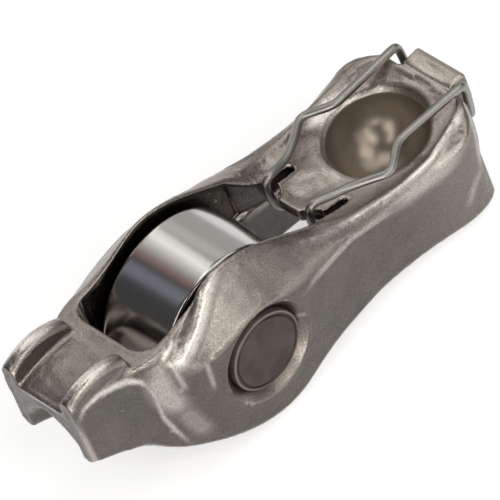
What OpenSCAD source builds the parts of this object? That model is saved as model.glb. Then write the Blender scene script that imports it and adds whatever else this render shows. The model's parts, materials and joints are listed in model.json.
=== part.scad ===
// Roller rocker arm: a forged finger follower with a needle-bearing cam roller and a wire retaining clip.
// Origin on the roller's axis, +X towards the pivot socket, +Z the way the socket's mouth faces.

/* [Roller bearing] */
// Diameter of the cam roller
roller_d = 17.5; // [17:0.1:18.2]
// Width of the cam roller
roller_w = 8.7; // [8.2:0.1:9.2]
// Chamfer on the roller's rims
roller_chamfer = 0.35; // [0.2:0.05:0.6]
// Thickness of the cam roller's wall
roller_wall = 2.97; // [2.6:0.01:3.2]
// Play between two neighbouring needles
needle_play = 0.034; // [0.02:0.002:0.06]
// Length that the needles are shorter than the roller is wide
needle_inset = 0.7; // [0.4:0.1:1.2]
// Clearance on a radius between pin, needles and roller
running_gap = 0.015; // [0.01:0.005:0.02]
// Clearance between the roller and each wall
side_gap = 0.2; // [0.1:0.05:0.3]

/* [Arm] */
// Width across the walls at the pin
arm_w = 17.6; // [17:0.1:18.4]
// Distance from the pin's axis to the valve end
valve_reach = 18.9; // [17.5:0.1:20]
// Distance from the pin's axis to the socket's axis
socket_reach = 24.06; // [22.5:0.1:26]
// Distance from the socket's axis to the end of the lip
lip_reach = 9.3; // [8.8:0.1:10]
// Height of the walls' crest above the pin's axis
hump_h = 9.7; // [9.4:0.1:10.2]
// Depth of the walls below the pin's axis
wall_drop = 8.2; // [7.8:0.1:8.5]
// Thickness of the web round the socket
web_t = 2.4; // [2:0.1:2.8]
// Rounding on the lower edges of the walls
edge_r = 0.5; // [0.3:0.05:0.6]
// Clearance of the pin in its bore, on a radius
pin_fit = 0.01; // [0.01:0.005:0.02]
// Width of the countersink round the pin, on a radius
sink_w = 0.8; // [0.5:0.1:1]

/* [Window] */
// Distance from the pin's axis to the window's front edge
window_front = 10; // [9.6:0.1:10.4]
// Distance from the pin's axis to the tongue's tip
tongue_reach = 12.5; // [12:0.1:13]
// Gap that the window leaves outside the channel's walls
window_gap = 0.4; // [0.1:0.05:0.5]
// Radius of the window's corners
window_r = 2; // [1:0.1:2.5]
// Half the width of the tongue
tongue_half_w = 3.1; // [2.9:0.1:3.3]
// Half the width of the tongue's tip
tip_half_w = 1.35; // [1.2:0.05:1.6]
// Width of the slots beside the tongue
slot_w = 0.9; // [0.8:0.05:1]
// Distance that the side slots reach past the tongue's tip
slot_reach = 4; // [3.4:0.1:4.4]
// Radius of the bites in the tongue's tip, where the clip hooks through
bite_r = 2.6; // [2.2:0.1:3]

/* [Socket] */
// Radius of the ball socket
socket_r = 5; // [4.6:0.1:5.2]
// Height of the socket's rim above the pin's axis
socket_rim_z = 0.33; // [0:0.05:0.6]
// Thickness of the dome round the socket
dome_t = 1.9; // [1.6:0.1:2.2]
// Width of the chamfer on the socket's rim
rim_chamfer = 0.45; // [0.2:0.05:0.6]
// Half the width of the lip
lip_half_w = 3.1; // [2.8:0.1:3.3]
// Height of the lip's crest above the pin's axis
lip_z = 1.7; // [1.4:0.1:2]
// Distance from the socket's axis to the end of the walls
wall_end = 5; // [4.6:0.1:5.4]

/* [Valve end] */
// Gap between the ears, which straddle the valve stem
ear_gap = 5.9; // [5.6:0.1:6.1]
// Thickness of one ear
ear_t = 1.95; // [1.6:0.05:2]
// Height of the ears' crest above the pin's axis
ear_z = 10.25; // [9.9:0.05:10.6]
// Length of the ears
ear_l = 7.3; // [7:0.1:7.6]
// Radius of the ears' arched edge
ear_arc_r = 7; // [6:0.1:8]
// Height of the pad's crest above the pin's axis
pad_z = 7.95; // [7.7:0.05:8.1]
// Radius of the pad's convex face
pad_r = 16; // [14:0.5:20]
// Half the width across the flats at the valve end
flat_half_w = 4.85; // [4.7:0.05:5]
// Radius of the round end of each flat
flat_r = 5.5; // [5:0.1:6]
// Height of the flats' round end above the pin's axis
flat_z = 2.3; // [1.8:0.1:2.8]
// Angle that the flats open towards the pin
flat_angle = 4; // [2:0.5:6]

/* [Clip] */
// Diameter of the clip's wire
wire_d = 0.88; // [0.8:0.02:0.96]

/* [Hidden] */
needles = 19;
bore_r = roller_d / 2 - roller_wall;
// The needles fill the ring inside the bore, and the axle pin takes what they leave
needle_step = sin(180 / needles);
needle_d = (2 * needle_step * (bore_r - running_gap) - needle_play) / (1 + needle_step);
needle_pitch_r = bore_r - running_gap - needle_d / 2;
pin_d = 2 * (needle_pitch_r - needle_d / 2 - running_gap);
overrun = 1;
half_w = arm_w / 2;
channel_half = roller_w / 2 + side_gap;
pin_l = arm_w - 2 * edge_r * 0.5;
pin_chamfer = 0.3;
ear_crest_x = -valve_reach + ear_l * 0.44;
pad_crest_x = -valve_reach + ear_l * 0.52;

// Sections of the arm, in shares of its named sizes.
// place: -1 valve end, 0 pin, 1 socket, 2 end of the lip; wall, crest_y: of half_w; drop: of wall_drop;
// crest_z, middle, foot, roof, ridge: of hump_h; channel: of channel_half; pulls: of the bend's corner.
//  place   wall   drop  crest_y crest_z middle foot pull  channel roof pull  ridge
section_shares = [
  [-1.000, 0.520, -0.13, 0.495, 0.735, 0.72, 0.30, 0.40, 0.71, 0.620, 0.35, 0],
  [-0.810, 0.545,  0.12, 0.510, 0.755, 0.75, 0.30, 0.40, 0.77, 0.580, 0.45, 0],
  [-0.710, 0.570,  0.26, 0.530, 0.775, 0.76, 0.30, 0.42, 0.85, 0.550, 0.60, 0],
  [-0.640, 0.605,  0.43, 0.575, 0.785, 0.78, 0.31, 0.46, 0.92, 0.540, 0.75, 0],
  [-0.585, 0.665,  0.55, 0.620, 0.795, 0.79, 0.33, 0.44, 0.96, 0.540, 0.80, 0],
  [-0.530, 0.745,  0.61, 0.640, 0.795, 0.79, 0.36, 0.42, 1.00, 0.540, 0.90, 0],
  [-0.470, 0.830,  0.65, 0.635, 0.795, 0.79, 0.40, 0.38, 1.00, 0.540, 0.90, 0],
  [-0.370, 0.940,  0.72, 0.615, 0.805, 0.80, 0.45, 0.26, 1.00, 0.540, 0.90, 0],
  [-0.235, 0.995,  0.85, 0.595, 0.865, 0.83, 0.49, 0.10, 1.00, 0.560, 0.90, 0],
  [-0.117, 1.000,  0.95, 0.590, 0.950, 0.90, 0.53, 0.02, 1.00, 0.600, 0.90, 0],
  [ 0.000, 1.000,  1.00, 0.590, 1.000, 0.93, 0.55, 0.00, 1.00, 0.600, 0.90, 0],
  [ 0.100, 1.000,  0.97, 0.590, 0.955, 0.90, 0.50, 0.06, 1.00, 0.560, 0.90, 0],
  [ 0.216, 0.985,  0.87, 0.590, 0.830, 0.77, 0.36, 0.22, 1.00, 0.460, 0.90, 0],
  [ 0.337, 0.950,  0.83, 0.595, 0.645, 0.57, 0.24, 0.44, 1.02, 0.330, 0.90, 0],
  [ 0.457, 0.920,  0.83, 0.625, 0.460, 0.30, 0.18, 0.70, 1.05, 0.130, 0.90, 0.01],
  [ 0.574, 0.895,  0.84, 0.680, 0.310, 0.19, 0.15, 0.80, 1.06, 0.030, 0.90, 0.025],
  [ 0.665, 0.885,  0.87, 0.730, 0.245, 0.14, 0.11, 0.82, 1.05, -0.020, 0.90, 0.04],
  [ 0.765, 0.890,  0.91, 0.760, 0.190, 0.09, 0.05, 0.78, 1.10, -0.100, 0.85, 0.05],
  [ 0.865, 0.915,  0.94, 0.780, 0.160, 0.055, -0.07, 0.70, 1.18, -0.180, 0.80, 0.055],
  [ 0.940, 0.950,  0.96, 0.795, 0.148, 0.035, -0.15, 0.66, 1.25, -0.210, 0.80, 0.055],
  [ 1.000, 0.975,  0.98, 0.800, 0.142, 0.03, -0.19, 0.65, 1.27, -0.220, 0.80, 0.05],
  [ 1.210, 0.995,  1.00, 0.775, 0.145, 0.03, -0.17, 0.75, 1.27, -0.220, 0.80, 0.045],
  [ 1.390, 0.978,  1.00, 0.740, 0.165, 0.05, -0.11, 0.84, 1.25, -0.210, 0.80, 0.04],
  [ 1.530, 0.910,  1.01, 0.705, 0.185, 0.09, -0.06, 0.86, 1.15, -0.180, 0.80, 0.03],
  [ 1.640, 0.780,  1.00, 0.640, 0.195, 0.12, -0.03, 0.80, 1.00, -0.150, 0.80, 0.02],
  [ 1.735, 0.640,  1.00, 0.560, 0.180, 0.15, -0.03, 0.70, 0.80, -0.130, 0.80, 0],
];
last_place = section_shares[len(section_shares) - 1][0];
ring_places = concat([for (k = [0:17]) -1 + k / 18], [for (k = [0:19]) k / 20],
                     [for (k = [0:8]) 1 + (last_place - 1) * k / 8]);
top_steps = 6;
bend_steps = 7;
half_steps = top_steps + bend_steps + 3;

// Value of one column at a place, on a smooth curve through the table's rows
function row_at(s, k = 0) = k >= len(section_shares) - 2 || s < section_shares[k + 1][0] ? k : row_at(s, k + 1);
function slope(k, c) =
  let (a = section_shares[max(k - 1, 0)], b = section_shares[min(k + 1, len(section_shares) - 1)])
  (b[c] - a[c]) / (b[0] - a[0]);
function at(s, c) =
  let (k = row_at(s), a = section_shares[k], b = section_shares[k + 1], h = b[0] - a[0], t = (s - a[0]) / h)
  (2 * t * t * t - 3 * t * t + 1) * a[c] + (t * t * t - 2 * t * t + t) * h * slope(k, c)
  + (3 * t * t - 2 * t * t * t) * b[c] + (t * t * t - t * t) * h * slope(k + 1, c);
function place_x(s) =
  s < 0 ? s * valve_reach : s < 1 ? s * socket_reach : socket_reach + (s - 1) * lip_reach;

// Point on a cubic curve with two handles
function cubic(a, b, c, d, t) =
  pow(1 - t, 3) * a + 3 * t * pow(1 - t, 2) * b + 3 * t * t * (1 - t) * c + t * t * t * d;

// Half of one section, from the middle of the top outwards and down the wall
function outer_half(s) =
  let (wall = at(s, 1) * half_w, low = -at(s, 2) * wall_drop, crest_y = at(s, 3) * half_w,
       crest = [crest_y, at(s, 4) * hump_h], middle = at(s, 5) * hump_h,
       foot = [wall, at(s, 6) * hump_h], pull = at(s, 7), ridge = [0, at(s, 11) * hump_h])
  concat(
    [for (k = [0:top_steps - 1])
      cubic([0, middle], [crest_y * 0.8, middle], [crest_y * 0.85, crest[1]] - ridge, crest, k / top_steps)],
    [for (k = [0:bend_steps - 1])
      cubic(crest, crest + [(wall - crest_y) * pull, 0] - ridge, foot + [0, (crest[1] - foot[1]) * pull], foot,
            k / bend_steps)],
    [foot, [wall, low + edge_r], [wall - edge_r * 0.3, low + edge_r * 0.3], [wall - edge_r, low]]);

// Half of the same section's inside, from the middle of the roof outwards and down
function inner_half(s) =
  let (low = -at(s, 2) * wall_drop, side = at(s, 8) * channel_half, roof = at(s, 9) * hump_h,
       pull = at(s, 10), foot = [side, low + (roof - low) * 0.35])
  concat(
    [for (k = [0:half_steps - 4])
      cubic([0, roof], [side * pull, roof], [side, foot[1] + (roof - foot[1]) * pull], foot,
            k / (half_steps - 3))],
    [foot, [side, low + edge_r], [side + edge_r * 0.3, low + edge_r * 0.3], [side + edge_r, low]]);

function ring(s) =
  let (x = place_x(s), outer = outer_half(s), inner = inner_half(s))
  concat(
    [for (k = [0:half_steps]) [x, outer[k][0], outer[k][1]]],
    [for (k = [half_steps:-1:0]) [x, inner[k][0], inner[k][1]]],
    [for (k = [1:half_steps]) [x, -inner[k][0], inner[k][1]]],
    [for (k = [half_steps:-1:1]) [x, -outer[k][0], outer[k][1]]]);

// The forged channel: one closed skin through all the sections
module channel() {
  n = half_steps;
  size = 4 * n + 2;
  last = len(ring_places) - 1;
  points = [for (s = ring_places) each ring(s)];
  sides = [for (r = [0:last - 1], k = [0:size - 1]) let (a = r * size + k, b = r * size + (k + 1) % size)
    each [[a, b, b + size], [a, b + size, a + size]]];
  right = [for (k = [0:n - 1]) each [[k, 2 * n + 1 - k, k + 1], [k + 1, 2 * n + 1 - k, 2 * n - k]]];
  left = [for (k = [0:n - 1]) let (o = k == 0 ? 0 : size - k, o2 = size - k - 1, i = 2 * n + 1 + k)
    each [[o, o2, i], [o2, i + 1, i]]];
  caps = concat(right, left);
  far = [for (f = caps) [f[0] + last * size, f[2] + last * size, f[1] + last * size]];
  polyhedron(points, concat(sides, caps, far));
}

// Round crests: slices of the ear in shares of its thickness, each with the share of its height that is cut off
ear_slice_shares = [[0, 0.26], [0.12, 0.1], [0.28, 0.02], [0.45, 0], [0.64, 0.02], [0.8, 0.1], [0.93, 0.32],
                    [1, 0.8]];
ear_steps = 14;
function ear_ring(side, slice) =
  let (r = ear_arc_r - slice[1] * (ear_z - pad_z), y = side * (ear_gap / 2 + slice[0] * ear_t), low = pad_z - web_t)
  concat(
    [for (k = [0:ear_steps]) let (x = -valve_reach + ear_l * k / ear_steps)
      [x, y, ear_z - ear_arc_r + sqrt(r * r - pow(x - ear_crest_x, 2))]],
    [[ear_l - valve_reach, y, low], [-valve_reach, y, low]]);
module ears() {
  size = ear_steps + 3;
  last = len(ear_slice_shares) - 1;
  for (side = [-1, 1]) {
    skin = [for (r = [0:last - 1], k = [0:size - 1]) let (a = r * size + k, b = r * size + (k + 1) % size)
      each [[a, b, b + size], [a, b + size, a + size]]];
    ends = [[for (k = [size - 1:-1:0]) k], [for (k = [0:size - 1]) last * size + k]];
    faces = concat(skin, ends);
    polyhedron([for (slice = ear_slice_shares) each ear_ring(side, slice)],
               side < 0 ? faces : [for (f = faces) [for (k = [len(f) - 1:-1:0]) f[k]]]);
  }
}

// The coined flats on the outer faces of the legs, each with a round end towards the pin
module flats() {
  inner = ear_gap / 2 + ear_t * 0.4;
  length = valve_reach * 0.155 + flat_r + overrun;
  centre = [valve_reach * 0.155 - valve_reach, flat_z];
  arc = [for (a = [-18:9:117]) centre + flat_r * [cos(a), sin(a)]];
  foot = [for (s = [-1, -0.8, -0.7, -0.6]) [place_x(s), edge_r - at(s, 2) * wall_drop]];
  outline = concat(arc, [[-valve_reach, flat_z + flat_r * 0.86]], foot);
  for (side = [-1, 1])
    intersection() {
      translate([0, arm_w, 0]) rotate([90, 0, 0]) linear_extrude(2 * arm_w) polygon(outline);
      translate([0, 0, -wall_drop]) linear_extrude(2 * arm_w)
        polygon([[-valve_reach, side * inner], [-valve_reach, side * flat_half_w],
                 [length - valve_reach, side * (flat_half_w + length * tan(flat_angle))],
                 [length - valve_reach, side * inner]]);
    }
}

module pad() {
  translate([0, ear_gap / 2 + ear_t * 0.4, 0]) rotate([90, 0, 0])
    linear_extrude(ear_gap + ear_t * 0.8) intersection() {
      translate([pad_crest_x, pad_z - pad_r]) circle(pad_r, $fn = 120);
      translate([-valve_reach, pad_z - web_t / 2]) square([valve_reach - window_front + window_r, web_t]);
    }
}

module lip() {
  end = socket_reach + lip_reach;
  start = socket_reach + socket_r + rim_chamfer;
  low = socket_rim_z - web_t;
  crest_w = lip_reach * 0.155;
  translate([0, lip_half_w, 0]) rotate([90, 0, 0]) linear_extrude(2 * lip_half_w)
    polygon([[start, low], [end - edge_r, low], [end, low + edge_r], [end, lip_z - edge_r * 0.4],
             [end - edge_r * 0.6, lip_z], [end - crest_w, lip_z * 0.985], [end - crest_w * 1.2, lip_z * 0.95],
             [end - crest_w * 1.4, lip_z * 0.88], [end - crest_w * 1.65, lip_z * 0.74],
             [end - crest_w * 1.95, lip_z * 0.54], [end - crest_w * 2.25, lip_z * 0.37], [start, socket_rim_z]]);
}

module window_outline() {
  half = channel_half + window_gap;
  corner = half - window_r;
  slot_half = tongue_half_w + slot_w;
  slot_end = tongue_reach + slot_reach - slot_w / 2;
  translate([-window_front, -corner]) square([2 * window_r, 2 * corner]);
  polygon([[-window_front + window_r, -half], [tongue_reach * 0.8, -half], [tongue_reach, -slot_half],
           [tongue_reach, slot_half], [tongue_reach * 0.8, half], [-window_front + window_r, half]]);
  for (side = [-1, 1]) {
    translate([-window_front + window_r, side * corner]) circle(window_r, $fn = 60);
    intersection() {
      translate([tongue_reach - bite_r * 0.4, side * (tip_half_w + bite_r * 0.917)]) circle(bite_r, $fn = 90);
      translate([tongue_reach - overrun, side * slot_half / 2 - slot_half / 2])
        square([slot_end - tongue_reach, slot_half]);
    }
    translate([tongue_reach - overrun, side * (tongue_half_w + slot_w / 2) - slot_w / 2])
      square([slot_end - tongue_reach + overrun, slot_w]);
    translate([slot_end, side * (tongue_half_w + slot_w / 2)]) circle(slot_w / 2, $fn = 40);
  }
}

module arm() {
  color("gray") difference() {
    union() {
      channel();
      ears();
      flats();
      pad();
      lip();
      difference() {
        translate([socket_reach, 0, socket_rim_z]) sphere(socket_r + dome_t, $fn = 96);
        translate([socket_reach - 2 * socket_r, -2 * socket_r, socket_rim_z - web_t / 2])
          cube([4 * socket_r, 4 * socket_r, 2 * socket_r]);
      }
    }
    rotate([90, 0, 0]) cylinder(arm_w + overrun, r = pin_d / 2 + pin_fit, center = true, $fn = 96);
    for (side = [-1, 1])
      rotate([side * 90, 0, 0]) translate([0, 0, half_w - sink_w])
        cylinder(sink_w + overrun, pin_d / 2 + pin_fit, pin_d / 2 + sink_w + overrun, $fn = 96);
    linear_extrude(hump_h + overrun) window_outline();
    translate([socket_reach, 0, socket_rim_z]) sphere(socket_r, $fn = 96);
    translate([socket_reach, 0, socket_rim_z - rim_chamfer / 3])
      cylinder(rim_chamfer, socket_r - rim_chamfer / 4, socket_r + rim_chamfer * 3 / 4, $fn = 96);
    translate([socket_reach, 0, socket_rim_z + rim_chamfer / 3])
      cylinder(lip_z + overrun, r = socket_r + rim_chamfer * 7 / 8, $fn = 96);
    translate([socket_reach + wall_end, -arm_w, -2 * wall_drop])
      cube([lip_reach, 2 * arm_w, 2 * wall_drop + socket_rim_z - web_t]);
  }
}

module axle_pin() {
  color("dimgray") rotate([90, 0, 0]) rotate_extrude($fn = 96)
    polygon([[0, -pin_l / 2], [pin_d / 2 - pin_chamfer, -pin_l / 2], [pin_d / 2, -pin_l / 2 + pin_chamfer],
             [pin_d / 2, pin_l / 2 - pin_chamfer], [pin_d / 2 - pin_chamfer, pin_l / 2], [0, pin_l / 2]]);
}

module roller() {
  r = roller_d / 2;
  h = roller_w / 2;
  c = roller_chamfer;
  color("lightgray") rotate([90, 0, 0]) rotate_extrude($fn = 120)
    polygon([[bore_r + c, -h], [r - c, -h], [r, -h + c], [r, h - c], [r - c, h], [bore_r + c, h],
             [bore_r, h - c], [bore_r, -h + c]]);
}

module needle(k) {
  l = roller_w - needle_inset;
  e = needle_d * 0.15;
  color("silver") rotate([0, (k - 1) * 360 / needles, 0]) translate([needle_pitch_r, 0, 0])
    rotate([90, 0, 0]) rotate_extrude($fn = 32)
      polygon([[0, -l / 2], [needle_d / 2 - e, -l / 2], [needle_d / 2, -l / 2 + e],
               [needle_d / 2, l / 2 - e], [needle_d / 2 - e, l / 2], [0, l / 2]]);
}

// Places along half of the clip, from its hooked end to the middle of its loop, in shares of named sizes
wire_sides = 10;
wire_r = wire_d / 2;
hook_r = tip_half_w;
clip_half = [
  [tongue_reach + hook_r * 1.5, tongue_half_w * 0.50, -web_t * 0.27],
  [tongue_reach + hook_r * 0.9, tongue_half_w * 0.70, -web_t * 0.26],
  [tongue_reach + hook_r * 0.3, tongue_half_w * 0.83, web_t * 0.02],
  [tongue_reach + hook_r * 0.1, tongue_half_w * 0.88, web_t * 0.50],
  [tongue_reach + hook_r * 0.1, tongue_half_w * 0.92, web_t * 1.10],
  [tongue_reach + hook_r * 0.35, tongue_half_w * 0.94, web_t * 1.42],
  [tongue_reach + hook_r * 0.9, tongue_half_w * 0.97, web_t * 1.48],
  [socket_reach * 0.64, tongue_half_w * 1.10, web_t * 1.25],
  [socket_reach * 0.70, tongue_half_w * 1.25, web_t * 1.17],
  [socket_reach * 0.78, tongue_half_w * 1.60, web_t * 1.13],
  [socket_reach * 0.83, tongue_half_w * 1.86, web_t * 1.12],
  [socket_reach * 0.87, tongue_half_w * 1.88, web_t * 1.12],
  [socket_reach * 0.92, tongue_half_w * 1.62, web_t * 1.14],
  [socket_reach * 0.97, tongue_half_w * 1.38, web_t * 1.15],
  [socket_reach + lip_reach * 0.05, tongue_half_w * 1.34, web_t * 1.15],
  [socket_reach + lip_reach * 0.45, tongue_half_w * 1.38, web_t * 1.04],
  [socket_reach + lip_reach * 0.78, tongue_half_w * 1.41, web_t * 0.97],
  [socket_reach + lip_reach * 0.84, tongue_half_w * 1.42, web_t * 0.86],
  [socket_reach + lip_reach * 0.86, tongue_half_w * 1.40, web_t * 0.60],
  [socket_reach + lip_reach * 0.86, tongue_half_w * 1.34, -web_t * 0.10],
  [socket_reach + lip_reach * 0.86, tongue_half_w * 1.28, -web_t * 0.65],
  [socket_reach + lip_reach * 0.855, tongue_half_w * 1.22, -web_t * 1.02],
  [socket_reach + lip_reach * 0.85, tongue_half_w * 1.02, -web_t * 1.20],
  [socket_reach + lip_reach * 0.85, tongue_half_w * 0.55, -web_t * 1.24],
];
clip_route = concat(clip_half, [for (k = [len(clip_half) - 1:-1:0]) [clip_half[k][0], -clip_half[k][1], clip_half[k][2]]]);

function route(k) = clip_route[min(max(k, 0), len(clip_route) - 1)];
function on_route(k, t) =
  let (a = route(k - 1), b = route(k), c = route(k + 1), d = route(k + 2))
  0.5 * (2 * b + t * (c - a) + t * t * (2 * a - 5 * b + 4 * c - d) + t * t * t * (3 * b - a - 3 * c + d));
function unit(v) = v / norm(v);

module retaining_clip() {
  path = concat([for (k = [0:len(clip_route) - 2], t = [0, 0.5]) on_route(k, t)], [route(len(clip_route) - 1)]);
  n = len(path);
  along = [for (k = [0:n - 1]) unit(path[min(k + 1, n - 1)] - path[max(k - 1, 0)])];
  // The frame is carried along the wire, so that its sides don't twist
  start = unit(cross(along[0], [0, 0, 1]));
  sides = [for (k = 0, u = start; k < n; k = k + 1, u = k < n ? unit(u - (u * along[k]) * along[k]) : u) u];
  points = [for (k = [0:n - 1], j = [0:wire_sides - 1]) let (a = j * 360 / wire_sides, v = cross(along[k], sides[k]))
    path[k] + wire_r * (cos(a) * sides[k] + sin(a) * v)];
  skin = [for (k = [0:n - 2], j = [0:wire_sides - 1])
    let (a = k * wire_sides + j, b = k * wire_sides + (j + 1) % wire_sides)
    each [[a, b + wire_sides, b], [a, a + wire_sides, b + wire_sides]]];
  ends = [[for (j = [0:wire_sides - 1]) j], [for (j = [wire_sides - 1:-1:0]) (n - 1) * wire_sides + j]];
  color("darkgray") polyhedron(points, concat(skin, ends));
}

arm();
axle_pin();
roller();
retaining_clip();
for (k = [1:needles]) needle(k);
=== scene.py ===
import json
import math

import bpy
from mathutils import Matrix, Vector
from mathutils.kdtree import KDTree

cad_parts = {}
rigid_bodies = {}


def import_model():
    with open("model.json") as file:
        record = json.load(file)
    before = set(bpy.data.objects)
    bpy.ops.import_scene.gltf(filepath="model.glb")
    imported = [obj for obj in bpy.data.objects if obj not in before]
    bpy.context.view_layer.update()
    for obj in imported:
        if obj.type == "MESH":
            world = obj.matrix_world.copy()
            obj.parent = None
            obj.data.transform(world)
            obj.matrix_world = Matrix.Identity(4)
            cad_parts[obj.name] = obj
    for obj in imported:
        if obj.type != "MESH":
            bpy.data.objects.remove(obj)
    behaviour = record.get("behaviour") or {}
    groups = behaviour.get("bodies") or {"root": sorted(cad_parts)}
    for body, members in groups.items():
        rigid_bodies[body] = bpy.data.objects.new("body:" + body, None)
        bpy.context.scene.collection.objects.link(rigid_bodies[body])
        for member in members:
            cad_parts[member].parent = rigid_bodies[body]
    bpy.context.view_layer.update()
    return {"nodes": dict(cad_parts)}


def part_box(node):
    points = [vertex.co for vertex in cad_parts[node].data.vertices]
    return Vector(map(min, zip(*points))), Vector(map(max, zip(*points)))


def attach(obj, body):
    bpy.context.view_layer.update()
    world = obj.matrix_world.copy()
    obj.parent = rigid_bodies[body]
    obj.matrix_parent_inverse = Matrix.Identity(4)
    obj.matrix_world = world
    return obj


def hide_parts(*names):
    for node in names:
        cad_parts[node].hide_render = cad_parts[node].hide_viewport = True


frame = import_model()
print("frame loaded:", len(frame["nodes"]), "nodes")

# Pieces are modelled in millimetres and brought to metres when they are finished.
mm = 0.001
# Vertices of a copied node that lie nearer than this are one vertex
mergeDistance = 0.0005


def makeActive(piece):
    for other in bpy.context.selected_objects:
        other.select_set(False)
    piece.select_set(True)
    bpy.context.view_layer.objects.active = piece


def applyModifier(piece, kind, **values):
    makeActive(piece)
    modifier = piece.modifiers.new(kind.title(), kind)
    for key, value in values.items():
        setattr(modifier, key, value)
    bpy.ops.object.modifier_apply(modifier=modifier.name)


def cutWith(piece, cutter):
    applyModifier(piece, "BOOLEAN", operation="DIFFERENCE", solver="EXACT", object=cutter)
    bpy.data.objects.remove(cutter)


def copyNode(node, name):
    mesh = frame["nodes"][node].data.copy()
    mesh.materials.clear()
    mesh.transform(Matrix.Scale(1 / mm, 4))
    piece = bpy.data.objects.new(name, mesh)
    bpy.context.scene.collection.objects.link(piece)
    makeActive(piece)
    bpy.ops.object.mode_set(mode="EDIT")
    bpy.ops.mesh.select_all(action="SELECT")
    bpy.ops.mesh.remove_doubles(threshold=mergeDistance)
    bpy.ops.object.mode_set(mode="OBJECT")
    return piece


def nodeBox(node):
    low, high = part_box(node)
    return low / mm, high / mm


def turned(name, rings, steps, axis="Y"):
    # Lathe work: a disc is extruded from ring to ring, each one a place along the axis and a radius
    turn = {"Y": (-math.pi / 2, 0, 0), "Z": (0, 0, 0)}[axis]
    along = {"Y": Vector((0, 1, 0)), "Z": Vector((0, 0, 1))}[axis]
    place, radius = rings[0]
    bpy.ops.mesh.primitive_circle_add(vertices=steps, radius=radius, fill_type="NGON",
                                      location=along * place, rotation=turn)
    piece = bpy.context.object
    piece.name = name
    bpy.ops.object.transform_apply(location=True, rotation=True, scale=True)
    bpy.ops.object.mode_set(mode="EDIT")
    bpy.ops.mesh.select_all(action="SELECT")
    for nextPlace, nextRadius in rings[1:]:
        bpy.ops.mesh.extrude_region_move(TRANSFORM_OT_translate={"value": along * (nextPlace - place)})
        share = nextRadius / radius
        across = (share, 1, share) if axis == "Y" else (share, share, 1)
        bpy.ops.transform.resize(value=across, center_override=along * nextPlace)
        place, radius = nextPlace, nextRadius
    bpy.ops.mesh.select_all(action="SELECT")
    bpy.ops.mesh.normals_make_consistent(inside=False)
    bpy.ops.object.mode_set(mode="OBJECT")
    return piece


def finish(piece, body, nodes, material, angle=35):
    piece.data.transform(Matrix.Scale(mm, 4))
    makeActive(piece)
    bpy.ops.object.shade_smooth_by_angle(angle=math.radians(angle))
    piece.data.materials.clear()
    piece.data.materials.append(material)
    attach(piece, body)
    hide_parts(*nodes)
    print(piece.name, "finished:", len(piece.data.polygons), "faces")


def mathNode(nodes, links, operation, first, second=None):
    # The second value is a socket, a number or nothing
    node = nodes.new("ShaderNodeMath")
    node.operation = operation
    links.new(first, node.inputs[0])
    if isinstance(second, bpy.types.NodeSocket):
        links.new(second, node.inputs[1])
    elif second is not None:
        node.inputs[1].default_value = second
    return node.outputs[0]


# Camera: a long lens at the photograph's angle, rolled so that the arm runs up to the right
cameraView = {
    "target": (6.72, -0.67, 2.31),
    "right": (0.674, -0.692, -0.2595),
    "up": (0.668, 0.421, 0.6136),
    "width": 45.9,
    "lens": 700,
    "sensor": 36,
    "farthest": 10,
}


def addCamera(view):
    right, up = Vector(view["right"]).normalized(), Vector(view["up"]).normalized()
    back = right.cross(up)
    distance = view["width"] * view["lens"] / view["sensor"]
    camera = bpy.data.objects.new("camera", bpy.data.cameras.new("camera"))
    camera.data.lens = view["lens"]
    camera.data.sensor_width = view["sensor"]
    camera.data.clip_end = view["farthest"]
    camera.data.dof.use_dof = False
    turn = Matrix((right, up, back)).transposed().to_4x4()
    camera.matrix_world = Matrix.Translation((Vector(view["target"]) + back * distance) * mm) @ turn
    bpy.context.scene.collection.objects.link(camera)
    bpy.context.scene.camera = camera


# Stage: a pale floor, a dim room and soft panels round the part
stageLook = {
    "floorDrop": 0.03,
    "floorSize": 4000,
    "floorColour": (0.8, 0.8, 0.8, 1),
    "floorGlow": 0.5,
    "worldColour": (0.97, 0.98, 1.0, 1),
    "worldStrength": 0.07,
}
backWhite = (1.0, 0.985, 0.96)
softWhite = (1.0, 0.99, 0.97)
leftWhite = (1.0, 0.985, 0.95)
# name: azimuth, elevation, distance, width, height, brightness of its face, colour
panels = {
    "backWall": (43, 15, 320, 165, 290, 0.46, backWhite),
    "backBand": (49, 36, 315, 100, 90, 0.20, backWhite),
    "backEdge": (58, 46, 310, 44, 130, 1.15, backWhite),
    "backSoft": (67, 50, 310, 36, 130, 0.95, backWhite),
    "backFade": (76.5, 53, 310, 32, 130, 0.62, backWhite),
    "backDim": (86, 54, 310, 32, 130, 0.36, (1.0, 0.96, 0.93)),
    "redCard": (97, 54, 310, 34, 130, 0.24, (1.0, 0.50, 0.44)),
    "blueCard": (120.5, 46.5, 310, 58, 150, 0.27, (0.72, 0.76, 1.0)),
    "backMid": (80, 30, 330, 170, 110, 1.1, backWhite),
    "backFar": (92, 8, 320, 190, 150, 0.80, backWhite),
    "top": (38, 74, 330, 150, 150, 1.9, softWhite),
    "right": (4, 48, 330, 150, 170, 1.3, softWhite),
    "frontRight": (318, 52, 330, 150, 150, 2.3, softWhite),
    "rightLow": (325, 15, 330, 200, 110, 0.6, softWhite),
    "frontLow": (288, 12, 330, 130, 130, 1.3, softWhite),
    "frontWide": (288, 36, 330, 110, 130, 1.8, softWhite),
    "front": (265, 42, 320, 80, 200, 3.8, leftWhite),
    "leftStrip": (197, 55, 320, 40, 150, 4.4, leftWhite),
    "leftLow": (238, 12, 320, 140, 130, 5.5, softWhite),
    "left": (207, 31, 320, 110, 130, 3.2, softWhite),
}


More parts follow.
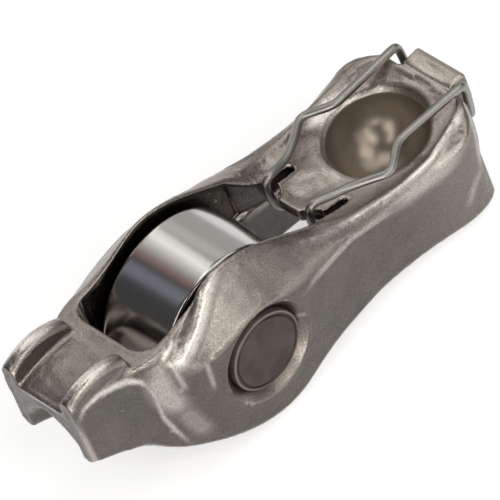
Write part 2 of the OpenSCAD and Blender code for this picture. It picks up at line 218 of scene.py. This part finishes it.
def addStage(look):
    lowest = min(nodeBox(node)[0].z for node in frame["nodes"])
    bpy.ops.mesh.primitive_plane_add(size=look["floorSize"] * mm,
                                     location=(0, 0, (lowest - look["floorDrop"]) * mm))
    floor = bpy.context.object
    floor.name = "floor"
    paint = bpy.data.materials.new("paleFloor")
    paint.use_nodes = True
    nodes, links = paint.node_tree.nodes, paint.node_tree.links
    nodes.clear()
    out = nodes.new("ShaderNodeOutputMaterial")
    matte = nodes.new("ShaderNodeBsdfDiffuse")
    matte.inputs["Color"].default_value = look["floorColour"]
    glow = nodes.new("ShaderNodeEmission")
    glow.inputs["Strength"].default_value = look["floorGlow"]
    both = nodes.new("ShaderNodeAddShader")
    path = nodes.new("ShaderNodeLightPath")
    seen = mathNode(nodes, links, "MAXIMUM", path.outputs["Is Camera Ray"], path.outputs["Is Glossy Ray"])
    choose = nodes.new("ShaderNodeMixShader")
    links.new(matte.outputs[0], both.inputs[0])
    links.new(glow.outputs[0], both.inputs[1])
    links.new(seen, choose.inputs[0])
    links.new(matte.outputs[0], choose.inputs[1])
    links.new(both.outputs[0], choose.inputs[2])
    links.new(choose.outputs[0], out.inputs["Surface"])
    floor.data.materials.append(paint)
    world = bpy.data.worlds.new("room")
    bpy.context.scene.world = world
    world.use_nodes = True
    back = world.node_tree.nodes["Background"]
    back.inputs["Color"].default_value = look["worldColour"]
    back.inputs["Strength"].default_value = look["worldStrength"]
    bpy.context.scene.view_settings.view_transform = "Standard"


def addPanel(name, azimuth, elevation, distance, width, height, brightness, colour):
    lamp = bpy.data.lights.new(name, "AREA")
    lamp.shape = "RECTANGLE"
    lamp.size, lamp.size_y = width * mm, height * mm
    lamp.energy = brightness * math.pi * width * height * mm * mm
    lamp.color = colour
    panel = bpy.data.objects.new(name, lamp)
    around, rise = math.radians(azimuth), math.radians(elevation)
    toPanel = Vector((math.cos(around) * math.cos(rise), math.sin(around) * math.cos(rise), math.sin(rise)))
    target = Vector(cameraView["target"])
    panel.matrix_world = (Matrix.Translation((target + toPanel * distance) * mm)
                          @ toPanel.to_track_quat("Z", "Y").to_matrix().to_4x4())
    bpy.context.scene.collection.objects.link(panel)


addCamera(cameraView)
addStage(stageLook)
for panelName, panelValues in panels.items():
    addPanel(panelName, *panelValues)
print("camera, stage and lights set")


# Shared effects
def newGroup(name, inputs, outputs):
    group = bpy.data.node_groups.new(name, "ShaderNodeTree")
    for label, kind, value in inputs:
        socket = group.interface.new_socket(name=label, in_out="INPUT", socket_type=kind)
        if value is not None:
            socket.default_value = value
    for label, kind in outputs:
        group.interface.new_socket(name=label, in_out="OUTPUT", socket_type=kind)
    return group, group.nodes.new("NodeGroupInput"), group.nodes.new("NodeGroupOutput")


def noiseNode(nodes, links, place, scale, detail=3.0, rough=0.55):
    texture = nodes.new("ShaderNodeTexNoise")
    texture.inputs["Scale"].default_value = scale
    texture.inputs["Detail"].default_value = detail
    texture.inputs["Roughness"].default_value = rough
    links.new(place, texture.inputs["Vector"])
    return texture


def rangeNode(nodes, links, value, low, high, toLow=0.0, toHigh=1.0):
    remap = nodes.new("ShaderNodeMapRange")
    for label, number in (("From Min", low), ("From Max", high), ("To Min", toLow), ("To Max", toHigh)):
        remap.inputs[label].default_value = number
    links.new(value, remap.inputs["Value"])
    return remap.outputs["Result"]


def mixColour(nodes, links, factor, first, second, kind="MIX"):
    mix = nodes.new("ShaderNodeMix")
    mix.data_type = "RGBA"
    mix.clamp_factor = kind == "MULTIPLY"
    mix.blend_type = kind
    for label, value in (("Factor", factor), ("A", first), ("B", second)):
        socket = mix.inputs[label]
        if isinstance(value, bpy.types.NodeSocket):
            links.new(value, socket)
        else:
            socket.default_value = value
    return mix.outputs["Result"]


mottleAndGlintsLook = {
    "cloud": (0.25, 4, 0.55),
    "grain": (3, 3, 0.6),
    # Specks and glitter are painted glints
    "speck": (6.5, 1, 0.4),
    "speckLevel": 0.72,
    "speckBlend": 0.03,
    "spark": (7.5, 2, 0.6),
    "sparkRange": (0.35, 0.68, 0.78, 1.20),
    "toneRange": (0.3, 0.7),
}


def makeMottleAndGlints(look):
    # Uneven tone of tumbled steel, broad clouds and fine grain, with a few pale specks and a finer glitter
    # painted in as glints
    group, start, end = newGroup("tumbledMottleAndGlints",
                                 [("Place", "NodeSocketVector", None),
                                  ("Cloud Size", "NodeSocketFloat", look["cloud"][0]),
                                  ("Grain Size", "NodeSocketFloat", look["grain"][0])],
                                 [("Cloud", "NodeSocketFloat"), ("Grain", "NodeSocketFloat"),
                                  ("Speck", "NodeSocketFloat"), ("Spark", "NodeSocketColor")])
    nodes, links = group.nodes, group.links
    cloud, grain, speck, spark = [noiseNode(nodes, links, start.outputs["Place"], *look[name])
                                  for name in ("cloud", "grain", "speck", "spark")]
    links.new(start.outputs["Cloud Size"], cloud.inputs["Scale"])
    links.new(start.outputs["Grain Size"], grain.inputs["Scale"])
    links.new(rangeNode(nodes, links, cloud.outputs["Fac"], *look["toneRange"]), end.inputs["Cloud"])
    links.new(rangeNode(nodes, links, grain.outputs["Fac"], *look["toneRange"]), end.inputs["Grain"])
    above = mathNode(nodes, links, "SUBTRACT", speck.outputs["Fac"], look["speckLevel"])
    links.new(rangeNode(nodes, links, above, 0, look["speckBlend"]), end.inputs["Speck"])
    level = rangeNode(nodes, links, spark.outputs["Fac"], *look["sparkRange"])
    links.new(mixColour(nodes, links, level, (0, 0, 0, 1), (1, 1, 1, 1)), end.inputs["Spark"])
    return group


# Pointiness is 0.5 on a flat face, more on an edge and less in a hollow
wearAndPaintedLightLook = {"edge": (0.53, 0.62), "hollowShade": (0.49, 0.42)}


def makeWearAndPaintedLight(look):
    # Edges painted brighter, partly as rubbed wear and partly as painted highlight, and hollows painted
    # darker as painted shade, from how far the surface stands out
    group, start, end = newGroup("edgeWearAndPaintedLight", [], [("Edge", "NodeSocketFloat"), ("HollowShade", "NodeSocketFloat")])
    nodes, links = group.nodes, group.links
    outward = nodes.new("ShaderNodeNewGeometry").outputs["Pointiness"]
    links.new(rangeNode(nodes, links, outward, *look["edge"]), end.inputs["Edge"])
    links.new(rangeNode(nodes, links, outward, *look["hollowShade"]), end.inputs["HollowShade"])
    return group


mottleAndGlints = makeMottleAndGlints(mottleAndGlintsLook)
wearAndPaintedLightGroup = makeWearAndPaintedLight(wearAndPaintedLightLook)


def addMottle(nodes, links, place, **sizes):
    tone = nodes.new("ShaderNodeGroup")
    tone.node_tree = mottleAndGlints
    links.new(place, tone.inputs["Place"])
    for label, size in sizes.items():
        tone.inputs[label + " Size"].default_value = size
    return tone.outputs


def metalShell(name, colour, roughness):
    material = bpy.data.materials.new(name)
    material.use_nodes = True
    nodes, links = material.node_tree.nodes, material.node_tree.links
    shader = nodes["Principled BSDF"]
    shader.inputs["Metallic"].default_value = 1.0
    shader.inputs["Base Color"].default_value = colour
    shader.inputs["Roughness"].default_value = roughness
    place = nodes.new("ShaderNodeTexCoord")
    scale = nodes.new("ShaderNodeMapping")
    scale.inputs["Scale"].default_value = (1 / mm, 1 / mm, 1 / mm)
    links.new(place.outputs["Object"], scale.inputs["Vector"])
    return material, nodes, links, shader, scale.outputs["Vector"], place.outputs["Normal"]


def addBump(nodes, links, shader, height, strength, distance):
    bump = nodes.new("ShaderNodeBump")
    bump.inputs["Strength"].default_value = strength
    bump.inputs["Distance"].default_value = distance * mm
    links.new(height, bump.inputs["Height"])
    links.new(bump.outputs["Normal"], shader.inputs["Normal"])


bowlCentre = (24.06, 0, 0.33)
# Pairs and fours are the ends of a range, of places in millimetres or of a mask
forgedLook = {
    "warm": (0.345, 0.306, 0.272, 1),
    "cool": (0.260, 0.236, 0.214, 1),
    "brokenRange": (0.1, 0.8, 0.72, 1.0),
    # The next five entries: darker copies of the steel for upright walls, lighter again from the pivot end
    # on: painted shade by which way the surface faces
    "wallShadeUpright": (0.42, 0.12),
    "wall": (0.108, 0.099, 0.092, 1),
    "wallPale": (0.142, 0.126, 0.114, 1),
    "wallEnd": (0.190, 0.168, 0.153, 1),
    "wallEndFrom": (18, 25),
    "sinkRing": (0.170, 0.148, 0.134, 1),
    "sinkRadius": 5.3,
    "sinkBlend": 0.6,
    # The next five entries: upright faces inside the window painted very dark, as painted shade
    "inside": (0.075, 0.062, 0.052, 1),
    "insideAside": (5.6, 5.1),
    "insideFront": (-10.9, -10.1),
    "insideBack": (10.6, 10.1),
    "insideUpright": (0.6, 0.3),
    "web": (0.480, 0.427, 0.380, 1),
    "webAside": (7.0, 4.2),
    "webFrom": (10.0, 12.5),
    # The near-white colour that the painted lines reach: partly rubbed wear and partly painted highlight
    "crest": (0.86, 0.79, 0.73, 1),
    # The pale colour of edges and specks: partly rubbed wear, partly painted highlight and glints
    "bright": (0.50, 0.46, 0.42, 1),
    # The dark colour of hollows: painted shade
    "hollowShade": (0.10, 0.085, 0.072, 1),
    "hollowShadeShare": 0.6,
    "bowl": (0.300, 0.255, 0.208, 1),
    "bowlRadius": 5.12,
    "bowlBlend": 0.05,
    "bowlRough": 0.29,
    "bowlMetallic": 0.75,
    "bowlHeight": 0.5,
    "edgeShare": 0.35,
    "speckShare": 0.35,
    "roughLow": 0.25,
    "roughHigh": 0.42,
    "grainSize": 4.5,
    "bump": 0.38,
    "bumpHeight": 0.03,
}


def nearPlace(nodes, links, place, centre, radius, blend):
    # 1 inside a ball round a place on the piece, 0 outside
    far = nodes.new("ShaderNodeVectorMath")
    far.operation = "DISTANCE"
    links.new(place, far.inputs[0])
    far.inputs[1].default_value = centre
    return rangeNode(nodes, links, far.outputs["Value"], radius, radius - blend)


def fromAxis(nodes, links, place):
    # The place without its part along the axle
    across = nodes.new("ShaderNodeVectorMath")
    across.operation = "MULTIPLY"
    across.inputs[1].default_value = (1, 0, 1)
    links.new(place, across.inputs[0])
    return across.outputs[0]


def split(nodes, links, vector):
    apart = nodes.new("ShaderNodeSeparateXYZ")
    links.new(vector, apart.inputs[0])
    return apart.outputs


def product(nodes, links, masks):
    whole = masks[0]
    for mask in masks[1:]:
        whole = mathNode(nodes, links, "MULTIPLY", whole, mask)
    return whole


def mixNumber(nodes, links, factor, first, second):
    mix = nodes.new("ShaderNodeMix")
    links.new(factor, mix.inputs[0])
    links.new(first, mix.inputs[2])
    mix.inputs[3].default_value = second
    return mix.outputs[0]


def forgedSteel(look):
    material, nodes, links, shader, place, facing = metalShell("forgedSteel", look["warm"],
                                                               look["roughHigh"])
    tone = addMottle(nodes, links, place, Grain=look["grainSize"])
    wearAndPaintedLight = nodes.new("ShaderNodeGroup")
    wearAndPaintedLight.node_tree = wearAndPaintedLightGroup
    where = split(nodes, links, place)
    aside = mathNode(nodes, links, "ABSOLUTE", where["Y"])
    # 0 where the surface stands upright, as the walls do, 1 where it lies flat
    lying = mathNode(nodes, links, "ABSOLUTE", split(nodes, links, facing)["Z"])

    def mask(value, name):
        return rangeNode(nodes, links, value, *look[name])

    def over(factor, first, second, kind="MIX"):
        return mixColour(nodes, links, factor, first, second, kind)

    def share(name, value):
        return mathNode(nodes, links, "MULTIPLY", value, look[name])

    web = product(nodes, links, (mask(aside, "webAside"), mask(where["X"], "webFrom")))
    flat = over(web, over(tone["Cloud"], look["warm"], look["cool"]), look["web"])
    # Upright surfaces take the darker copies below: painted shade by which way the surface faces
    patchy = over(tone["Cloud"], look["wall"], look["wallPale"])
    wall = over(mask(where["X"], "wallEndFrom"), patchy, look["wallEnd"])
    colour = over(mask(lying, "wallShadeUpright"), flat, wall)
    ring = nearPlace(nodes, links, fromAxis(nodes, links, place), (0, 0, 0),
                     look["sinkRadius"], look["sinkBlend"])
    colour = over(ring, colour, look["sinkRing"])
    # Upright faces inside the window painted very dark: painted shade
    inside = product(nodes, links, (mask(aside, "insideAside"), mask(where["X"], "insideFront"),
                                    mask(where["X"], "insideBack"), mask(lying, "insideUpright")))
    colour = over(inside, colour, look["inside"])
    # Hollows painted darker: painted shade
    colour = over(share("hollowShadeShare", wearAndPaintedLight.outputs["HollowShade"]), colour, look["hollowShade"])
    # Lines painted towards the near-white colour, broken by the grain: partly rubbed wear and partly painted
    # highlight
    rubbedAndHighlight = nodes.new("ShaderNodeAttribute")
    rubbedAndHighlight.attribute_name = "rubbedAndHighlight"
    broken = mathNode(nodes, links, "MULTIPLY", rubbedAndHighlight.outputs["Fac"], mask(tone["Grain"], "brokenRange"))
    colour = over(broken, colour, look["crest"])
    # Edges painted brighter: partly rubbed wear and partly painted highlight
    colour = over(share("edgeShare", wearAndPaintedLight.outputs["Edge"]), colour, look["bright"])
    # Pale specks and a finer glitter painted into the colour: painted glints
    colour = over(1.0, colour, tone["Spark"], "MULTIPLY")
    colour = over(share("speckShare", tone["Speck"]), colour, look["bright"])
    bowl = nearPlace(nodes, links, place, bowlCentre, look["bowlRadius"], look["bowlBlend"])
    links.new(over(bowl, colour, look["bowl"]), shader.inputs["Base Color"])
    grainy = rangeNode(nodes, links, tone["Grain"], 0, 1, look["roughLow"], look["roughHigh"])
    links.new(mixNumber(nodes, links, bowl, grainy, look["bowlRough"]), shader.inputs["Roughness"])
    links.new(rangeNode(nodes, links, bowl, 0, 1, 1, look["bowlMetallic"]), shader.inputs["Metallic"])
    height = mixNumber(nodes, links, bowl, tone["Grain"], look["bowlHeight"])
    addBump(nodes, links, shader, height, look["bump"], look["bumpHeight"])
    return material


rollerLook = {
    "colour": (0.58, 0.56, 0.54, 1),
    "roughness": 0.13,
    "rim": (0.17, 0.155, 0.14, 1),
    "rimFrom": 3.98,
    "rimBlend": 0.12,
    "scratchScale": (0.25, 60.0, 0.25),
    "scratch": (1.0, 4, 0.7),
    "roughRange": (0.35, 0.65, 0.14, 0.22),
    "bump": 0.12,
    "bumpHeight": 0.01,
}


def groundSteel(look):
    material, nodes, links, shader, place = metalShell("groundSteel", look["colour"],
                                                       look["roughness"])[:5]
    # Circumferential grinding lines: the pattern changes only along the axle
    along = nodes.new("ShaderNodeMapping")
    along.inputs["Scale"].default_value = look["scratchScale"]
    links.new(place, along.inputs["Vector"])
    lines = noiseNode(nodes, links, along.outputs["Vector"], *look["scratch"]).outputs["Fac"]
    aside = mathNode(nodes, links, "ABSOLUTE", split(nodes, links, place)["Y"])
    rim = rangeNode(nodes, links, aside, look["rimFrom"], look["rimFrom"] + look["rimBlend"])
    links.new(mixColour(nodes, links, rim, look["colour"], look["rim"]), shader.inputs["Base Color"])
    links.new(rangeNode(nodes, links, lines, *look["roughRange"]), shader.inputs["Roughness"])
    addBump(nodes, links, shader, lines, look["bump"], look["bumpHeight"])
    return material


pinLook = {
    "colour": (0.058, 0.046, 0.042, 1),
    "pale": (0.090, 0.074, 0.068, 1),
    # The rim ring's lighter colour: partly worn edge and partly painted highlight
    "edge": (0.20, 0.175, 0.160, 1),
    "rimFrom": 3.86,
    "rimBlend": 0.1,
    "roughness": 0.42,
    "cloudSize": 0.5,
    "bump": 0.25,
    "bumpHeight": 0.01,
}


def pinSteel(look):
    material, nodes, links, shader, place = metalShell("pinSteel", look["colour"], look["roughness"])[:5]
    tone = addMottle(nodes, links, place, Cloud=look["cloudSize"])
    colour = mixColour(nodes, links, tone["Cloud"], look["colour"], look["pale"])
    # The rim ring is painted lighter than the pin's dark face: partly worn edge and partly painted highlight
    face = nearPlace(nodes, links, fromAxis(nodes, links, place), (0, 0, 0),
                     look["rimFrom"] + look["rimBlend"], look["rimBlend"])
    links.new(mixColour(nodes, links, face, look["edge"], colour), shader.inputs["Base Color"])
    addBump(nodes, links, shader, tone["Grain"], look["bump"], look["bumpHeight"])
    return material


wireLook = {
    "colour": (0.26, 0.25, 0.23, 1),
    "pale": (0.34, 0.33, 0.31, 1),
    "roughness": 0.36,
    "grainSize": 5,
    "bump": 0.2,
    "bumpHeight": 0.008,
}


def springWire(look):
    material, nodes, links, shader, place = metalShell("springWire", look["colour"],
                                                       look["roughness"])[:5]
    tone = addMottle(nodes, links, place, Grain=look["grainSize"])
    colour = mixColour(nodes, links, tone["Grain"], look["colour"], look["pale"])
    links.new(colour, shader.inputs["Base Color"])
    addBump(nodes, links, shader, tone["Grain"], look["bump"], look["bumpHeight"])
    return material


forged = forgedSteel(forgedLook)
ground = groundSteel(rollerLook)
pinMetal = pinSteel(pinLook)
wireMetal = springWire(wireLook)
print("materials made")


# Arm: the forged blank loses its facets, keeps its edges, and then the machined forms are cut again, clean
armWork = {
    "voxel": 0.212,
    "softening": 0.5,
    "firstSoftening": 1,
    "sharpAngle": 13,
    "keepRings": 2,
    "broadSoftening": 30,
    "unevenSize": 2.2,
    "unevenDepth": 0.16,
    "unevenLevel": 0.75,
    "bowlRadius": 5.03,
    "bowlStep": 3,
    "rimWidth": 0.32,
    "rimRise": 1.4,
    "rimReach": 1.25,
    "bowlClear": 4,
    "window": (-10.04, 10.0, 4.98, 0.4, 12),
    "windowCorner": 2.0,
    "windowSegments": 16,
    "pinBore": 4.19,
    "boreDepth": 3.2,
    "sink": 1.07,
    "sinkClear": 0.4,
    "sinkSteps": 8,
    "wallFace": 8.8,
    "turnSteps": 160,
}


def growBroadGroup(piece, sharpAngle, rings):
    # All that lies away from the edges
    makeActive(piece)
    group = piece.vertex_groups.new(name="broad")
    bpy.ops.object.mode_set(mode="EDIT")
    bpy.ops.mesh.select_mode(type="EDGE")
    bpy.ops.mesh.select_all(action="DESELECT")
    bpy.ops.mesh.edges_select_sharp(sharpness=math.radians(sharpAngle))
    bpy.ops.mesh.select_mode(type="VERT")
    for ring in range(rings):
        bpy.ops.mesh.select_more()
    bpy.ops.mesh.select_all(action="INVERT")
    bpy.ops.object.vertex_group_assign()
    bpy.ops.object.mode_set(mode="OBJECT")
    return group.name


# The edge between the wall and the web, and its last part round the socket's end
shoulderPoints = [(8.6, -6.6, 5.5), (11.0, -6.9, 4.2), (13.7, -6.8, 3.0), (16.4, -6.8, 2.1),
                  (19.1, -7.0, 1.5), (20.9, -7.1, 1.3), (22.9, -7.2, 1.3), (24.6, -7.1, 1.2)]
rimPoints = [(24.6, -7.1, 1.2), (25.9, -6.6, 1.5), (27.2, -6.4, 1.6), (28.6, -6.3, 1.7), (30.2, -5.6, 1.8)]
# Crests and creases that the forging dies and the tumbling left, and pale bands painted along lines:
# places, width and height in millimetres, and how bright the line is painted, partly as rubbed wear and
# partly as painted highlight
forgedLines = {
    "streak": ([(0.4, -5.1, 9.7), (-2.0, -5.7, 8.9), (-3.3, -6.2, 8.0), (-4.6, -6.6, 7.3), (-6.5, -7.1, 6.6),
                (-8.0, -7.2, 6.0), (-9.0, -6.9, 5.7)], 1.1, 0.30, 0.9),
    "valley": ([(-2.2, -5.1, 9.3), (-3.7, -5.3, 8.6), (-5.1, -5.6, 8.0), (-6.6, -6.0, 7.5),
                (-7.9, -6.2, 7.2)], 0.8, -0.28, 0),
    "crease": ([(-9.25, -6.4, 6.6), (-9.2, -6.7, 5.7), (-9.2, -7.0, 4.4), (-9.0, -7.2, 2.7)],
               0.42, -0.20, 0),
    "creaseSide": ([(-8.7, -6.9, 5.7), (-8.7, -7.2, 4.5), (-8.6, -7.4, 2.8)], 0.5, 0.12, 0.35),
    "scar": ([(-6.1, -8.3, 5.1), (-6.3, -8.5, 3.5), (-6.4, -8.5, 1.1)], 0.4, 0.07, 0.35),
    "facet": ([(-10.2, -6.3, 6.2), (-10.3, -6.2, 4.6), (-10.2, -6.4, 2.6), (-9.6, -6.9, 0.4)], 2.0, 0, 0.45),
    "facetLow": ([(-9.6, -6.9, 0.4), (-9.0, -7.3, -1.8), (-8.4, -7.6, -3.8)], 1.5, 0, 0.22),
    "shoulder": (shoulderPoints, 0.8, 0.24, 0.3),
    "shoulderLine": (shoulderPoints + rimPoints[1:], 0.5, 0.14, 1.0),
    "rimRidge": (rimPoints, 0.8, 0.24, 0.8),
    "slope": ([(17.5, -7.3, 0.9), (21.0, -7.6, 0.4), (25.0, -7.8, 0.2), (28.2, -7.4, 0.8)], 1.4, 0, 0.35),
    "endRidge": ([(30.6, -5.6, 1.6), (29.5, -7.2, 0.8), (28.7, -8.2, -1.5), (28.3, -8.4, -3.4)],
                 0.7, 0.16, 0.4),
    "endFacet": ([(28.2, -8.3, -3.2), (26.4, -8.5, -4.3), (25.2, -8.5, -5.9)], 0.7, 0.16, 0.25),
    "foot": ([(5.2, -8.55, 2.2), (7.2, -8.4, 2.3), (10.9, -8.0, 2.2), (13.3, -7.8, 2.0), (15.8, -7.8, 1.3),
              (17.6, -7.85, 0.8), (19.2, -7.9, 0.2), (20.6, -8.0, -0.9)], 0.42, 0.15, 0.35),
    "flatCorner": ([(-9.9, -6.6, -4.6), (-10.1, -6.5, -3.9), (-10.6, -6.2, -2.0), (-11.1, -5.9, 0.2),
                    (-11.1, -5.9, 2.2), (-11.0, -5.9, 3.6), (-11.4, -5.6, 5.7), (-12.0, -5.3, 6.6)],
                   0.4, 0.16, 0.5),
    "flatLedge": ([(-18.8, -4.7, 7.3), (-17.6, -4.95, 8.2), (-15.8, -5.0, 8.3), (-14.0, -5.0, 7.7),
                   (-12.6, -5.1, 7.0), (-11.6, -5.5, 6.0), (-11.0, -5.9, 4.2)], 0.42, 0.12, 0.8),
    "frontEdge": ([(-18.8, -4.7, 7.6), (-18.85, -4.8, 5.0), (-18.7, -4.9, 1.0), (-18.2, -4.95, -2.0),
                   (-17.4, -5.0, -3.6)], 0.5, 0, 0.4),
    "archEdge": ([(-18.7, -3.2, 7.3), (-18.8, -2.4, 7.4), (-18.9, 0, 7.3), (-18.9, 2.6, 7.4)], 0.5, 0, 0.35),
    "windowFold": ([(-6.8, -6.0, 7.6), (-8.1, -6.2, 7.3), (-9.2, -6.3, 6.9)], 0.5, 0.15, 0.7),
    "nearCrest": ([(-18.5, -3.7, 9.4), (-17.4, -3.8, 9.95), (-16.2, -3.85, 10.2), (-14.9, -3.85, 10.2),
                   (-13.6, -3.7, 9.9), (-12.4, -3.6, 9.4)], 1.1, 0, 1.0),
    "farCrest": ([(-18.5, 3.9, 9.5), (-17.4, 4.0, 10.0), (-16.0, 4.0, 10.2), (-14.6, 4.0, 10.1),
                  (-13.2, 4.1, 9.8), (-12.0, 4.2, 9.2)], 1.0, 0, 1.0),
    "dish": ([(13.8, 0, 2.0), (16.6, 0, 1.6)], 2.1, -0.38, 0),
    "dishRim": ([(14.2, 2.6, 2.0), (16.4, 2.5, 1.6), (18.0, 1.2, 1.3), (18.3, 0, 1.2), (18.0, -1.2, 1.3),
                 (16.4, -2.5, 1.6), (14.2, -2.6, 2.0)], 0.9, 0.14, 0.45),
    "lipCrest": ([(31.6, -3.0, 1.7), (31.6, 3.0, 1.7)], 0.6, 0, 0.45),
    "farRail": ([(27.5, 5.4, 1.5), (24.0, 5.9, 1.0), (20.5, 5.6, 1.1)], 1.2, 0, 0.9),
}


# How a line is laid: spacing of its samples, how fast its ends fade in, and how steeply its sides fall
lineWork = {"spacing": 0.12, "taper": 4, "fall": 1.3, "rubAndHighlightReach": 1.5, "rubAndHighlightFall": 1.6}


def raiseLine(piece, name, points, width, height, wearAndPaintedLight, work=lineWork):
    # The nearer a vertex is to the line, the further it moves along its normal and the brighter it is
    # painted, partly as rubbed wear and partly as painted highlight
    tree = KDTree(len(piece.data.vertices))
    for vertex in piece.data.vertices:
        tree.insert(vertex.co, vertex.index)
    tree.balance()
    weights, rubsAndHighlights = {}, {}
    corners = [Vector(point) for point in points]
    whole = sum((end - start).length for start, end in zip(corners, corners[1:]))
    passed = 0
    for start, end in zip(corners, corners[1:]):
        steps = max(2, round((end - start).length / work["spacing"]))
        for step in range(steps + 1):
            share = (passed + (end - start).length * step / steps) / whole
            taper = min(1, work["taper"] * share, work["taper"] * (1 - share))
            for place, index, apart in tree.find_range(start.lerp(end, step / steps), width):
                near = 1 - apart / width
                rubAndHighlight = min(1, work["rubAndHighlightReach"] * near) ** work["rubAndHighlightFall"]
                weights[index] = max(weights.get(index, 0), taper * near ** work["fall"])
                rubsAndHighlights[index] = max(rubsAndHighlights.get(index, 0), taper * rubAndHighlight)
        passed += (end - start).length
    rubbedAndHighlight = piece.data.attributes.get("rubbedAndHighlight") or piece.data.attributes.new("rubbedAndHighlight", "FLOAT", "POINT")
    for index, rubAndHighlight in rubsAndHighlights.items():
        rubbedAndHighlight.data[index].value = max(rubbedAndHighlight.data[index].value, rubAndHighlight * wearAndPaintedLight)
    if height:
        group = piece.vertex_groups.new(name=name)
        for index, weight in weights.items():
            group.add([index], weight, "REPLACE")
        applyModifier(piece, "DISPLACE", strength=height, mid_level=0, direction="NORMAL", vertex_group=name)


def bowlCutter(work):
    radius, rim = work["bowlRadius"], work["rimWidth"]
    angles = [math.radians(angle) for angle in range(work["bowlStep"], 88, work["bowlStep"])]
    rings = [(-radius * math.cos(angle), radius * math.sin(angle)) for angle in angles]
    widest = radius + rim * work["rimReach"]
    rings += [(0, radius), (rim, radius + rim), (rim * work["rimRise"], widest), (work["bowlClear"], widest)]
    cutter = turned("bowlCutter", rings, work["turnSteps"], "Z")
    cutter.data.transform(Matrix.Translation(bowlCentre))
    return cutter


def windowCutter(work):
    # The opening over the roller, with its rounded front corners
    front, back, half, low, high = work["window"]
    bpy.ops.mesh.primitive_cube_add(size=1, location=((front + back) / 2, 0, (low + high) / 2),
                                    scale=(back - front, 2 * half, high - low))
    cutter = bpy.context.object
    cutter.name = "windowCutter"
    bpy.ops.object.transform_apply(location=True, rotation=True, scale=True)
    bpy.ops.object.mode_set(mode="EDIT")
    bpy.ops.mesh.select_mode(type="EDGE")
    bpy.ops.mesh.select_all(action="DESELECT")
    bpy.ops.object.mode_set(mode="OBJECT")
    for edge in cutter.data.edges:
        ends = [cutter.data.vertices[index].co for index in edge.vertices]
        atFront = all(abs(end.x - front) < mergeDistance for end in ends)
        edge.select = atFront and abs(ends[0].y - ends[1].y) < mergeDistance
    bpy.ops.object.mode_set(mode="EDIT")
    bpy.ops.mesh.bevel(offset=work["windowCorner"], segments=work["windowSegments"])
    bpy.ops.object.mode_set(mode="OBJECT")
    return cutter


def sinkCutter(work, side):
    # Bore and countersink round the pin's end
    bore, sink, face, clear = work["pinBore"], work["sink"], work["wallFace"], work["sinkClear"]
    steps = [(sink + clear) * part / work["sinkSteps"] for part in range(work["sinkSteps"] + 1)]
    rings = [(side * (face - work["boreDepth"]), bore)]
    rings += [(side * (face - sink + step), bore + step) for step in steps]
    return turned("sinkCutter", rings if side > 0 else rings[::-1], work["turnSteps"])


def modelArm(work):
    arm = copyNode("arm", "forged_arm")
    applyModifier(arm, "REMESH", mode="VOXEL", voxel_size=work["voxel"], use_smooth_shade=True)
    applyModifier(arm, "SMOOTH", factor=work["softening"], iterations=work["firstSoftening"])
    broad = growBroadGroup(arm, work["sharpAngle"], work["keepRings"])
    applyModifier(arm, "SMOOTH", factor=work["softening"], iterations=work["broadSoftening"],
                  vertex_group=broad)
    print("arm softened:", len(arm.data.polygons), "faces")
    uneven = bpy.data.textures.new("unevenness", "CLOUDS")
    uneven.noise_scale = work["unevenSize"]
    applyModifier(arm, "DISPLACE", strength=work["unevenDepth"], mid_level=work["unevenLevel"],
                  texture=uneven, vertex_group=broad)
    for name, line in forgedLines.items():
        raiseLine(arm, name, *line)
    cutWith(arm, bowlCutter(work))
    cutWith(arm, windowCutter(work))
    for side in (-1, 1):
        cutWith(arm, sinkCutter(work, side))
    return arm


# Pairs are how far in from the end face and how far in from the widest radius
pinWork = {
    "flat": (0.4, 1.2, 2.2),
    "profile": ((0, 0.95), (0.01, 0.62), (0.13, 0.54), (0.13, 0.46), (0.01, 0.38), (0, 0.28), (0.08, 0.1),
                (0.3, 0)),
    "turnSteps": 128,
}


def modelPin(work):
    radius, half = nodeBox("axle_pin")[1].xy
    rings = [(-half, near) for near in work["flat"]]
    rings += [(-half + inward, radius - less) for inward, less in work["profile"]]
    rings += [(-place, near) for place, near in reversed(rings)]
    return turned("staked_pin", rings, work["turnSteps"])


# The last two pairs hold the barrel's normals straight beside the chamfer
rollerWork = {
    "profile": ((0, 1.2), (0, 0.40), (0.04, 0.33), (0.12, 0.20), (0.22, 0.09), (0.35, 0.025), (0.50, 0),
                (0.70, 0)),
    "turnSteps": 256,
    "bore": 5.79,
    "boreClear": 1,
    "boreSteps": 128,
}


def modelRoller(work):
    radius, half = nodeBox("roller")[1].xy
    rings = [(-half + inward, radius - less) for inward, less in work["profile"]]
    rings += [(0, radius)] + [(-place, near) for place, near in reversed(rings)]
    roller = turned("cam_roller", rings, work["turnSteps"])
    reach = half + work["boreClear"]
    cutWith(roller, turned("bore", [(-reach, work["bore"]), (reach, work["bore"])], work["boreSteps"]))
    return roller


clipWork = {"flatAngle": 60, "levels": 2, "swell": 0.02}


def modelClip(work):
    clip = copyNode("retaining_clip", "wire_clip")
    limit = math.radians(work["flatAngle"])
    bpy.ops.object.mode_set(mode="EDIT")
    bpy.ops.mesh.select_all(action="SELECT")
    bpy.ops.mesh.tris_convert_to_quads(face_threshold=limit, shape_threshold=limit)
    bpy.ops.object.mode_set(mode="OBJECT")
    applyModifier(clip, "SUBSURF", levels=work["levels"], render_levels=work["levels"])
    applyModifier(clip, "DISPLACE", strength=work["swell"], mid_level=0)
    return clip


finish(modelArm(armWork), "arm", ["arm"], forged, 180)
finish(modelPin(pinWork), "arm", ["axle_pin"], pinMetal)
finish(modelRoller(rollerWork), "roller", ["roller"], ground, 30)
finish(modelClip(clipWork), "arm", ["retaining_clip"], wireMetal, 180)
for nodeName, node in frame["nodes"].items():
    if nodeName.startswith("needle"):
        node.data.materials.clear()
        node.data.materials.append(ground)
